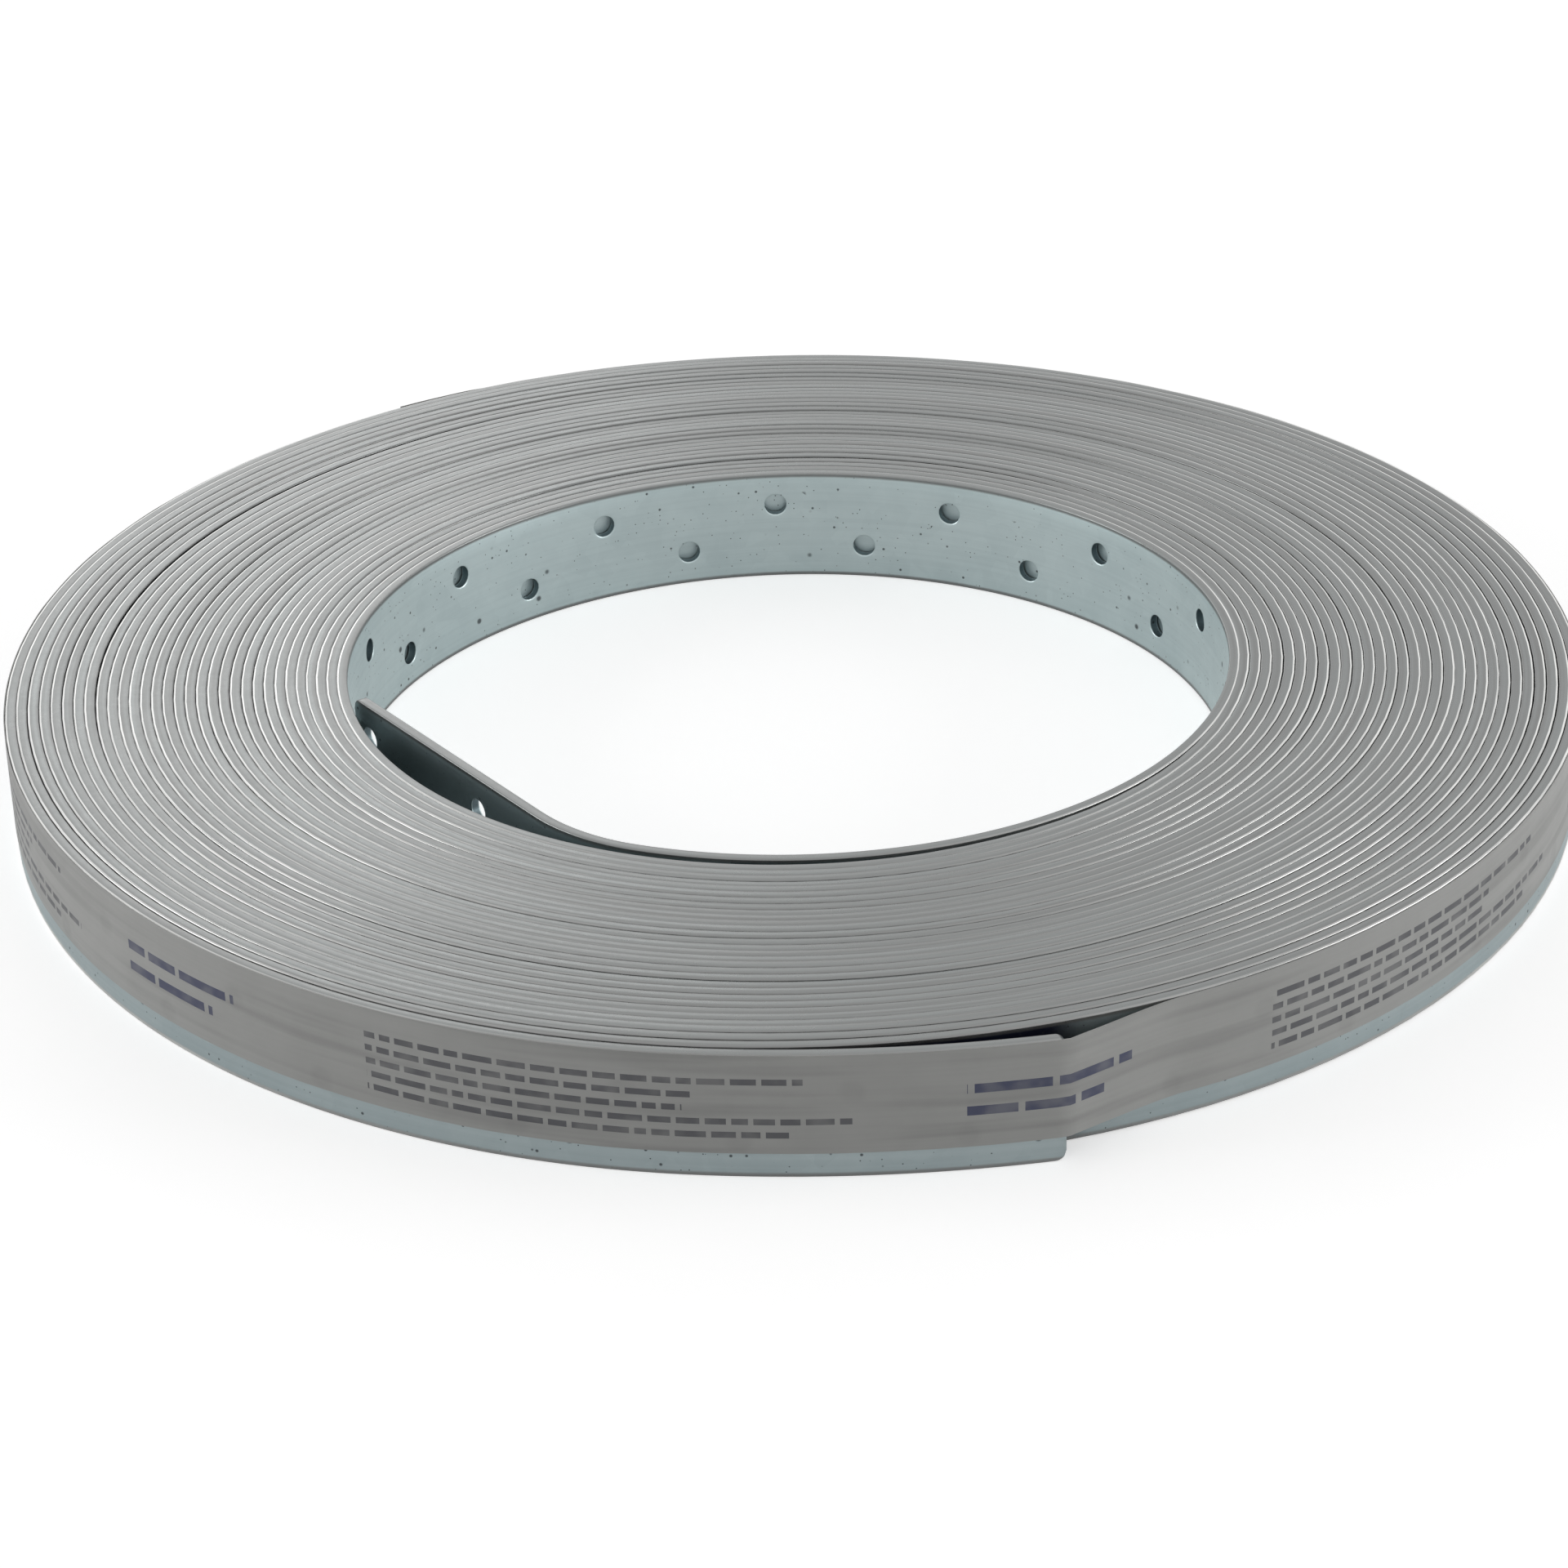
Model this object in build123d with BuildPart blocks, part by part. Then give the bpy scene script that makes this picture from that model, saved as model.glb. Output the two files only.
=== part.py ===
"""Coil of perforated mounting strap, lying flat, with the label tape round its outside.

The strap is galvanised steel with two staggered rows of round nail holes.  It is wound into a
flat coil: one turned body carries the turns between the first and the last, the first turn
stands off the second in front and springs into the bore as a straight tail, and the last turn
ends in a lifted, round-cornered tongue that the label tape bridges.

Millimetres, Z up, origin on the floor under the coil's axis.  Seen from above the strap winds
outwards counter-clockwise, and angles are counted from +X the same way.
"""

import os
from math import acos, atan2, cos, degrees, hypot, pi, radians, sin, sqrt

from build123d import *

# Strap stock
strap_width = 25.0
strap_thickness = 2.0
hole_diameter = 5.0
hole_step = 20.0  # along the strap, from a hole of one row to the next hole of the other
row_spacing = 10.0
end_hole_margin = 5.0  # from the inner end to the first hole's centre
end_corner_radius = 2.0

# Winding
bore_diameter = 179.0
turn_count = 32
turn_gap = 0.265
spring_gap = 2.0  # between the first turn and the second, where the tail leaves the bore
turns_per_ring = 3  # turns that lean together on the coil's ends
ring_lean = 0.7  # how far the turns that stand proudest are shifted along the axis
ring_rise_shares = (0.0, 0.55, 0.15, 0.8, 0.35, 1.0, 0.5, 0.2, 0.75, 0.3, 0.6)

# Inner end, sprung away from the bore as a straight tail
tail_merge_angle = -110.0
tail_bend_radius = 40.5
tail_bend_angle = 33.8

# Outer end, lifted off the turn below
outer_end_angle = -74.0
tongue_length = 65.0
tongue_radius = 215.0

# Label tape
label_width = 20.0
label_thickness = 0.2
label_bottom = 5.0
label_clearance = 0.1

half_turn = 180.0


def toward(angle):
    """Unit vector in plan at an angle in degrees."""
    return Vector(cos(radians(angle)), sin(radians(angle)))


# Sizes of the winding
turn_pitch = strap_thickness + turn_gap
pitch_quarter = turn_pitch / 4
bore_radius = bore_diameter / 2
outer_radius = bore_radius + turn_count * turn_pitch
core_inner_radius = bore_radius + strap_thickness + spring_gap + turn_pitch
core_outer_radius = outer_radius - turn_pitch - turn_gap
ring_count = int((core_outer_radius - core_inner_radius) / (turn_pitch * turns_per_ring))
ring_width = (core_outer_radius - core_inner_radius) / ring_count
cut_overrun = turn_gap

# The first turn's inner face is a half circle about the axis, then a wider one about a centre beside it
merge_side = toward(tail_merge_angle)
spring_shift = (strap_thickness + spring_gap) / 2
wall_centre = merge_side * spring_shift
wall_radius = bore_radius + spring_shift
first_half_length = pi * (bore_radius + strap_thickness / 2)
second_half_length = pi * (wall_radius + strap_thickness / 2)

# The second turn stands off the first until their gap has closed to that of the other turns
first_back_radius = bore_radius + strap_thickness
closing_share = (turn_pitch - spring_shift) / spring_shift
closing_angle = degrees(acos(closing_share))
gap_end = wall_centre + toward(tail_merge_angle + closing_angle) * wall_radius
gap_end_angle = degrees(atan2(gap_end.Y, gap_end.X))

# The tail bends inwards from the bore, then runs straight until it nearly meets the wall again
bend_centre = merge_side * (bore_radius - tail_bend_radius)
bend_length = radians(tail_bend_angle) * (tail_bend_radius + strap_thickness / 2)
tail_angle = tail_merge_angle - tail_bend_angle
tail_normal = toward(tail_angle)
tail_run = toward(tail_angle - 90)
tail_start = bend_centre + tail_normal * tail_bend_radius
tail_back_offset = tail_start.dot(tail_normal) + strap_thickness
tip_radius = bore_radius + strap_thickness
tail_length = sqrt(tip_radius**2 - tail_back_offset**2) - tail_start.dot(tail_run)
tail_tip = tail_start + tail_run * tail_length
tail_back = tail_normal * strap_thickness

# The last turn's outer face is a spiral of two half circles, and its end lifts on a flatter arc
end_side = toward(outer_end_angle)
third_half_centre = end_side * -pitch_quarter
third_half_radius = outer_radius - turn_pitch + pitch_quarter
fourth_half_centre = end_side * pitch_quarter
fourth_half_radius = outer_radius - pitch_quarter
lift_span = degrees(tongue_length / outer_radius)
lift_angle = outer_end_angle - lift_span
lift_side = toward(lift_angle)
lift_point = fourth_half_centre + lift_side * fourth_half_radius
tongue_centre = lift_point - lift_side * tongue_radius
tongue_sweep = degrees(tongue_length / tongue_radius)
tongue_side = toward(lift_angle + tongue_sweep)
tongue_tip = tongue_centre + tongue_side * tongue_radius
tongue_heel = tongue_tip - tongue_side * strap_thickness

# Hole rows
row_heights = (strap_width / 2 + row_spacing / 2, strap_width / 2 - row_spacing / 2)
hole_depth = strap_thickness + turn_gap / 2
inner_run = tail_length + bend_length + first_half_length + second_half_length
hole_count = int((inner_run - end_hole_margin - hole_diameter) / hole_step) + 1


def strap_station(distance):
    """Foot on the strap's inner face and outward normal, in plan, at a distance from the inner end."""
    if distance < tail_length:
        return tail_tip - tail_run * distance, tail_normal
    if distance < tail_length + bend_length:
        outward = toward(tail_angle + tail_bend_angle * (distance - tail_length) / bend_length)
        return bend_centre + outward * tail_bend_radius, outward
    run = distance - tail_length - bend_length
    if run < first_half_length:
        outward = toward(tail_merge_angle + half_turn * run / first_half_length)
        return outward * bore_radius, outward
    share = (run - first_half_length) / second_half_length
    outward = toward(tail_merge_angle + half_turn + half_turn * share)
    return wall_centre + outward * wall_radius, outward


def draw_rim(inset):
    """Closed line round the coil's outside, off its face by inset, bridging the step at the end."""
    corner = tongue_centre + tongue_side * (tongue_radius + inset)
    touch_radius = third_half_radius + inset
    reach = corner - third_half_centre
    touch_angle = degrees(atan2(reach.Y, reach.X) + acos(touch_radius / hypot(reach.X, reach.Y)))
    first_arc = outer_end_angle + half_turn - touch_angle
    CenterArc(third_half_centre, touch_radius, touch_angle, first_arc)
    second_arc = half_turn - lift_span
    CenterArc(fourth_half_centre, fourth_half_radius + inset, outer_end_angle + half_turn, second_arc)
    CenterArc(tongue_centre, tongue_radius + inset, lift_angle, tongue_sweep)
    Line(corner, third_half_centre + toward(touch_angle) * touch_radius)


def round_end_corners(end_point, backward, outward):
    """Cut the two corners off a strap end, from a point on its inner face, outside quarter circles."""
    start = end_point - outward * cut_overrun + Vector(0, 0, strap_width / 2)
    with BuildSketch(Plane(start, x_dir=backward, z_dir=outward)) as corners:
        with Locations(((end_corner_radius - cut_overrun) / 2, 0)):
            Rectangle(end_corner_radius + cut_overrun, strap_width + cut_overrun)
        with Locations((strap_width / 2, 0)):
            RectangleRounded(strap_width, strap_width, end_corner_radius, mode=Mode.SUBTRACT)
    extrude(corners.sketch, amount=strap_thickness + 2 * cut_overrun, mode=Mode.SUBTRACT)


# Strap: first turn and tail, last turn and tongue, and the turned body between them
with BuildPart() as strap:
    with BuildSketch():
        Circle(core_inner_radius)
        with BuildLine():
            CenterArc((0, 0), bore_radius, tail_merge_angle, half_turn)
            CenterArc(wall_centre, wall_radius, tail_merge_angle + half_turn, half_turn + closing_angle)
            Line(gap_end, toward(gap_end_angle) * first_back_radius)
            CenterArc((0, 0), first_back_radius, gap_end_angle, tail_merge_angle - gap_end_angle)
            CenterArc(bend_centre, tail_bend_radius + strap_thickness, tail_merge_angle, -tail_bend_angle)
            Line(tail_start + tail_back, tail_tip + tail_back)
            Line(tail_tip + tail_back, tail_tip)
            Line(tail_tip, tail_start)
            CenterArc(bend_centre, tail_bend_radius, tail_angle, tail_bend_angle)
        make_face(mode=Mode.SUBTRACT)
    extrude(amount=strap_width)
    round_end_corners(tail_tip, -tail_run, tail_normal)
    with BuildSketch():
        with BuildLine():
            CenterArc(third_half_centre, third_half_radius, outer_end_angle, half_turn)
            second_arc = half_turn - lift_span
            CenterArc(fourth_half_centre, fourth_half_radius, outer_end_angle + half_turn, second_arc)
            CenterArc(tongue_centre, tongue_radius, lift_angle, tongue_sweep)
            Line(tongue_tip, tongue_heel)
            CenterArc(tongue_centre, tongue_radius - strap_thickness, lift_angle + tongue_sweep, -tongue_sweep)
            Line(lift_point - lift_side * strap_thickness, lift_point - lift_side * turn_pitch)
            CenterArc(fourth_half_centre, fourth_half_radius - turn_pitch, lift_angle, lift_span)
        make_face()
        Circle(core_outer_radius, mode=Mode.SUBTRACT)
    extrude(amount=strap_width)
    round_end_corners(tongue_heel, toward(lift_angle + tongue_sweep - 90), tongue_side)
    with BuildSketch(Plane.XZ):
        with BuildLine():
            low_line = []
            for index in range(ring_count + 1):
                rise_share = ring_rise_shares[index % len(ring_rise_shares)]
                low_line.append((core_inner_radius + ring_width * index, ring_lean * rise_share))
            top_line = [(radius, strap_width + rise) for radius, rise in low_line]
            Polyline(*top_line, *reversed(low_line), close=True)
        make_face()
    revolve(axis=Axis.Z)
    for index in range(hole_count):
        foot, outward = strap_station(end_hole_margin + index * hole_step)
        start = foot - outward * cut_overrun + Vector(0, 0, row_heights[index % 2])
        with BuildSketch(Plane(start, z_dir=outward)):
            Circle(hole_diameter / 2)
    extrude(amount=cut_overrun + hole_depth, mode=Mode.SUBTRACT)
strap.part.label = "strap"

# Label tape, a closed ring round the outside
with BuildPart() as label_tape:
    with BuildSketch(Plane.XY.offset(label_bottom)):
        with BuildLine():
            draw_rim(label_clearance + label_thickness)
        make_face()
        with BuildLine():
            draw_rim(label_clearance)
        make_face(mode=Mode.SUBTRACT)
    extrude(amount=label_width)
label_tape.part.label = "label_tape"

os.makedirs("parts", exist_ok=True)
export_step(strap.part, "parts/strap.step")
export_step(label_tape.part, "parts/label_tape.step")
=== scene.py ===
"""Coil of perforated mounting strap, dressed over its CAD frame.

The strap is a flat blank that Geometry Nodes perforate, thicken and wind along one spiral line.  The
label tape follows the same line round the outside.  Everything is in metres, in the CAD frame.
"""
from math import atan, atan2, cos, pi, radians, sin, sqrt

import bmesh
import bpy
from bpy.props import FloatProperty, FloatVectorProperty, IntProperty, PointerProperty
from mathutils import Matrix, Vector


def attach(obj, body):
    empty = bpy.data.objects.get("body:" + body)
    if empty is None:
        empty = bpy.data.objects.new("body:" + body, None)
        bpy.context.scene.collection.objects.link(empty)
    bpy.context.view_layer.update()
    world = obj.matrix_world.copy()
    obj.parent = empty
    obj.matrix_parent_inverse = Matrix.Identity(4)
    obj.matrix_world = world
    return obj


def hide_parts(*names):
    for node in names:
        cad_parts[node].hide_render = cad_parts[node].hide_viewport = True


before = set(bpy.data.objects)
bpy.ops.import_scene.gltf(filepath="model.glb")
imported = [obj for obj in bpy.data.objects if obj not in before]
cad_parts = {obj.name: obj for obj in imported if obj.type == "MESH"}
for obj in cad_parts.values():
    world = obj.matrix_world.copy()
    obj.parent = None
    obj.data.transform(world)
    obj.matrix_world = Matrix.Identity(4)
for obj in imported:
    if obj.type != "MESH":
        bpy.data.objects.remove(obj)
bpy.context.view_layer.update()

bl_info = {
    "name": "Coil of perforated mounting strap",
    "version": (1, 0, 0),
    "blender": (4, 5, 0),
    "location": "View3D > Sidebar > Strap coil",
    "description": "Winds a perforated steel strap into a flat coil with a label tape round it",
    "category": "Object",
}

FULL_TURN = 2 * pi
MERGE_DISTANCE = 1e-5
SHARP_FOLD = radians(50)

# Mesh of the strap and the tape
EDGE_STEPS = 3  # rows on a rounded edge
SIDE_STEPS = 5  # faces on each side of the square round a hole
END_STEPS = 5  # columns from a cell's end to the square
MIDDLE_STEPS = 4  # columns between the two squares
SQUARE_SHARE = 1.28  # half the square's side over the hole's radius
RIM_RINGS = ((1.12, 0.0), (1.045, 0.18), (1.0, 0.55))  # radius and depth shares of a hole's rounded rim
LINE_STEP = radians(1.5)
COLUMN_LENGTH = 0.007
INNER_CELLS = 18  # perforated cells from the inner end on
OUTER_CELLS = 6  # perforated cells before the outer end
LABEL_COLUMNS = 480
LABEL_ROWS = 6

# Stage
FLOOR_REACH = 4.0
SOFT_BOXES = (  # name, place, side, power
    ("key_box", (1.6, -0.2, 0.24), 0.9, 12.0),
    ("fill_box", (-1.6, 0.0, 0.36), 0.9, 9.0),
    ("back_box", (-0.3, 1.35, 0.65), 0.5, 0.8))


def length(label, words, default):
    return FloatProperty(name=label, description=words, default=default, unit="LENGTH", precision=5)


def angle(label, words, default):
    return FloatProperty(name=label, description=words, default=radians(default), subtype="ANGLE")


def colour(label, words, default):
    return FloatVectorProperty(name=label, description=words, default=default, subtype="COLOR",
                               min=0, max=1)


class StrapSizes(bpy.types.PropertyGroup):
    """Sizes of the strap and of its winding."""

    width: length("Width", "Width of the strap", 0.025)
    thickness: length("Thickness", "Thickness of the strap", 0.002)
    edge_round: length("Edge rounding", "Radius of the strap's rolled edges", 0.00024)
    edge_burr: length("Edge burr", "How far the slit edges bulge over each face", 0.00011)
    hole_radius: length("Hole radius", "Radius of a nail hole", 0.0025)
    hole_step: length("Hole step", "Along the strap, from a hole to the next in the other row", 0.02)
    row_spacing: length("Row spacing", "Between the two rows of holes", 0.01)
    hole_margin: length("End margin", "From a strap end to the nearest hole's centre", 0.005)
    corner_radius: length("Corner radius", "Rounding of the strap's end corners", 0.002)
    bore_radius: length("Bore radius", "Inner face of the first turn", 0.0895)
    turn_pitch: length("Turn pitch", "From one turn to the next", 0.002296)
    tight_pitch: length("Tight pitch", "From one turn to the next where they press together", 0.0022)
    full_turns: IntProperty(name="Whole turns", description="Whole turns past the merge point",
                            default=31)
    merge_angle: angle("Merge angle", "Where the tail joins the first turn, seen from above", -110)
    bend_radius: length("Tail bend radius", "Bend between the first turn and the tail", 0.0405)
    bend_angle: angle("Tail bend angle", "How far the tail turns inwards", 33.8)
    outer_end_angle: angle("Outer end angle", "Where the strap ends on the outside", -74)
    tongue_length: length("Tongue length", "Lifted stretch at the outer end", 0.065)
    tongue_radius: length("Tongue radius", "Radius of the lifted stretch", 0.215)
    gap_wander: length("Gap wander", "How far single turns wander sideways", 0.00007)
    outer_radius: length("Outer radius", "Outside of the coil", 0.162)
    strap_length: length("Strap length", "From end to end", 24.441)
    shape_wander: length("Shape wander", "How far the whole winding leaves a true circle", 0.0005)
    edge_rise: length("Edge rise", "How far the proudest turns stand up", 0.0007)
    edge_wander: length("Edge wander", "How far single turns rise and fall", 0.00012)
    spring_gap: length("Spring gap", "How far the second turn stands off the first at the front", 0.002)
    group_gap: length("Group gap", "Loose gap between the outer turns and the rest", 0.0007)


class LabelSizes(bpy.types.PropertyGroup):
    """Sizes of the label tape."""

    width: length("Width", "Width of the tape", 0.02)
    bottom: length("Bottom", "Height of the tape's lower edge", 0.005)
    thickness: length("Thickness", "Thickness of the film", 0.0002)
    clearance: length("Clearance", "Air between film and strap", 0.00012)
    overlap: angle("Overlap", "How far the tape's end laps over its start", 6)
    seam_angle: angle("Seam angle", "Where the tape starts, seen from above", 118)


class FinishColours(bpy.types.PropertyGroup):
    """Colours of the finishes."""

    zinc: colour("Zinc", "Weathered zinc of the faces", (0.59, 0.68, 0.685))
    zinc_dark: colour("Dark zinc", "Darker grains of the zinc", (0.48, 0.565, 0.575))
    # Painted shade: dark colour for the faces hidden between the turns and for the hole walls, where
    # shade falls.
    painted_shade: colour("Oil film", "Dark oil left between the turns", (0.05, 0.082, 0.1))
    # Deeper painted shade for the faces under the lifted outer end.
    painted_shade_deep: colour("Oil at the end", "Oil under the lifted end", (0.012, 0.014, 0.045))
    edge: colour("Slit edge", "Slit edges of the strap", (0.205, 0.206, 0.203))
    # Painted highlight: near-white colour for the polished outer corners of the slit edges, where the
    # lamps glint.
    painted_edge_highlight: colour("Burr", "Polished outer corner of the slit edges", (0.95, 0.95, 0.93))
    speck: colour("Speck", "Specks and pits in the zinc", (0.05, 0.055, 0.06))
    film: colour("Film", "Label film", (0.365, 0.367, 0.357))
    ink: colour("Ink", "Small print", (0.045, 0.047, 0.06))
    ink_blue: colour("Blue ink", "Heavy print", (0.022, 0.03, 0.09))
    floor: colour("Floor", "Studio floor", (0.87, 0.87, 0.87))


class StageSettings(bpy.types.PropertyGroup):
    """Camera and lights."""

    focal_share: FloatProperty(name="Focal share", description="Focal length over picture width",
                               default=2.69156)
    camera_place: FloatVectorProperty(name="Camera place", description="Camera centre",
                                      subtype="TRANSLATION", default=(-0.0029, -0.78611, 0.40499))
    camera_pitch: angle("Camera pitch", "Below the horizon", 27.653)
    camera_roll: angle("Camera roll", "Turn about the line of sight", -1.4096)


class Field:
    """A number in a node tree, which sums and products extend by one Math node each."""

    def __init__(self, net, socket):
        self.net = net
        self.socket = socket

    def __add__(self, other):
        return self.net.math("ADD", self, other)

    def __radd__(self, other):
        return self.net.math("ADD", other, self)

    def __sub__(self, other):
        return self.net.math("SUBTRACT", self, other)

    def __rsub__(self, other):
        return self.net.math("SUBTRACT", other, self)

    def __mul__(self, other):
        return self.net.math("MULTIPLY", self, other)

    def __rmul__(self, other):
        return self.net.math("MULTIPLY", other, self)

    def __truediv__(self, other):
        return self.net.math("DIVIDE", self, other)

    def __rtruediv__(self, other):
        return self.net.math("DIVIDE", other, self)

    def __lt__(self, other):
        return self.net.math("LESS_THAN", self, other)

    def __gt__(self, other):
        return self.net.math("GREATER_THAN", self, other)


class Net:
    """Adds nodes to a tree and links them."""

    def __init__(self, tree):
        self.tree = tree

    def put(self, socket, value):
        """Link a socket or field to an input, or set the input's own value."""
        if isinstance(value, Field):
            value = value.socket
        if isinstance(value, bpy.types.NodeSocket):
            self.tree.links.new(value, socket)
        elif value is not None:
            socket.default_value = value

    def node(self, kind, inputs=None, **settings):
        """A new node with its settings, and its inputs by name or number."""
        made = self.tree.nodes.new(kind)
        for key, value in settings.items():
            setattr(made, key, value)
        for key, value in (inputs or {}).items():
            self.put(made.inputs[key], value)
        return made

    def math(self, operation, *values):
        made = self.node("ShaderNodeMath", dict(enumerate(values)), operation=operation)
        return Field(self, made.outputs[0])

    def field(self, socket):
        return Field(self, socket)

    def ramp(self, value, low, high, start=0.0, end=1.0):
        """Smooth step of a value from start to end between two limits."""
        made = self.node("ShaderNodeMapRange", {0: value, 1: low, 2: high, 3: start, 4: end},
                         interpolation_type="SMOOTHSTEP")
        return Field(self, made.outputs[0])

    def parts(self, vector):
        made = self.node("ShaderNodeSeparateXYZ", {0: vector})
        return [Field(self, socket) for socket in made.outputs]

    def vector(self, x=0.0, y=0.0, z=0.0):
        return self.node("ShaderNodeCombineXYZ", {0: x, 1: y, 2: z}).outputs[0]

    def noise_line(self, value, seed):
        """Smooth noise along one line, about -1 to 1."""
        made = self.node("ShaderNodeTexNoise", {"W": value + seed, "Scale": 1.0, "Detail": 1.0},
                         noise_dimensions="1D")
        return Field(self, made.outputs[0]) * 4.0 - 2.0


def new_tree(name, inputs, outputs):
    """A Geometry Nodes tree with named sockets, its helper, its input node and that node's fields."""
    tree = bpy.data.node_groups.new(name, "GeometryNodeTree")
    for label, socket_type in inputs:
        tree.interface.new_socket(name=label, in_out="INPUT", socket_type=socket_type)
    for label, socket_type in outputs:
        tree.interface.new_socket(name=label, in_out="OUTPUT", socket_type=socket_type)
    net = Net(tree)
    given = net.node("NodeGroupInput")
    return tree, net, given, {socket.name: net.field(socket) for socket in given.outputs if socket.name}


def join(net, *pieces):
    """Join the geometry of some nodes."""
    joined = net.node("GeometryNodeJoinGeometry")
    for piece in pieces:
        net.put(joined.inputs[0], piece.outputs[0])
    return joined


def weld(net, *pieces):
    """Join the geometry of some nodes and merge the points that meet."""
    joined = join(net, *pieces)
    return net.node("GeometryNodeMergeByDistance", {
        "Geometry": joined.outputs[0], "Distance": MERGE_DISTANCE})


def thicken(net, sheet, amount, direction=None):
    """Make a sheet a closed shell, along its normals or in one direction."""
    front = net.node("GeometryNodeExtrudeMesh", {
        "Mesh": sheet.outputs[0], "Offset": direction, "Offset Scale": amount, "Individual": False},
        mode="FACES")
    back = net.node("GeometryNodeFlipFaces", {0: sheet.outputs[0]})
    return weld(net, front, back)


def finish_tree(net, solid, finish):
    """End a tree: smooth faces, sharp folds, real geometry and its material."""
    smooth = net.node("GeometryNodeSetShadeSmooth", {0: solid.outputs[0], "Shade Smooth": True},
                      domain="FACE")
    fold = net.field(net.node("GeometryNodeInputMeshEdgeAngle").outputs[0])
    sharp = net.node("GeometryNodeSetShadeSmooth", {
        0: smooth.outputs[0], "Selection": fold > SHARP_FOLD, "Shade Smooth": False}, domain="EDGE")
    realised = net.node("GeometryNodeRealizeInstances", {0: sharp.outputs[0]})
    finished = net.node("GeometryNodeSetMaterial", {0: realised.outputs[0], "Material": finish})
    net.node("NodeGroupOutput", {0: finished.outputs[0]})


FLOAT = "NodeSocketFloat"
GEOMETRY = "NodeSocketGeometry"
WHOLE = "NodeSocketInt"
MATERIAL = "NodeSocketMaterial"
LINE_INPUTS = [(label, FLOAT) for label in (
    "Bore Radius", "Turn Pitch", "Thickness", "End Turn", "Bend Radius", "Bend Offset", "Bend Start",
    "Tail Distance", "Tail Lean", "Tongue Length", "Tongue Radius", "Merge Angle", "Gap Wander",
    "Shape Wander", "Edge Wander", "Edge Rise", "Spring Shift", "Tight Pitch", "Group Gap")]

# Heights of the turn edges, shared out over the turns between the first and the last
RISE_SHARES = (0.0, 0.55, 0.15, 0.8, 0.35, 1.0, 0.5, 0.2, 0.75, 0.3)
RISE_START = 2.9
RISE_TURNS = 28.1

# Loose gap between the outer turns and the rest
LOOSE_SIDE = radians(128)
LOOSE_START = -7.6 * FULL_TURN
LOOSE_RUN = 1.2

CONTACT_BLEND = 0.0003  # how softly the free spiral passes into turns that press on each other
PLAY_LOW, PLAY_HIGH = -0.0002, 0.0007  # room beyond contact over which single turns begin to wander
BRIDGE_SHARE = 0.58  # length of the tape's bridge past the strap's end over that of a straight one
BRIDGE_POWER = 1.5


def line_values(sizes):
    """The winding line's inputs, worked out from the strap's sizes."""
    bend_offset = sizes.bore_radius - sizes.bend_radius
    tail_distance = bend_offset * cos(sizes.bend_angle) + sizes.bend_radius
    bend_start = -atan2(sizes.bend_radius * sin(sizes.bend_angle),
                        bend_offset + sizes.bend_radius * cos(sizes.bend_angle))
    end_turn = sizes.full_turns * FULL_TURN + sizes.outer_end_angle - sizes.merge_angle
    return {
        "Bore Radius": sizes.bore_radius, "Turn Pitch": sizes.turn_pitch,
        "Thickness": sizes.thickness, "End Turn": end_turn, "Bend Radius": sizes.bend_radius,
        "Bend Offset": bend_offset, "Bend Start": bend_start, "Tail Distance": tail_distance,
        "Tail Lean": sizes.bend_angle, "Tongue Length": sizes.tongue_length,
        "Tongue Radius": sizes.tongue_radius, "Merge Angle": sizes.merge_angle,
        "Gap Wander": sizes.gap_wander, "Shape Wander": sizes.shape_wander,
        "Edge Wander": sizes.edge_wander, "Edge Rise": sizes.edge_rise,
        "Spring Shift": (sizes.thickness + sizes.spring_gap) / 2,
        "Tight Pitch": sizes.tight_pitch, "Group Gap": sizes.group_gap}


def tail_tip_turn(sizes):
    """Angle of the inner end from the merge point, where its outer corner nearly meets the wall."""
    values = line_values(sizes)
    tip_radius = sizes.bore_radius + sizes.thickness
    run = sqrt(tip_radius ** 2 - (values["Tail Distance"] + sizes.thickness) ** 2)
    return -sizes.bend_angle - atan(run / values["Tail Distance"])


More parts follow.
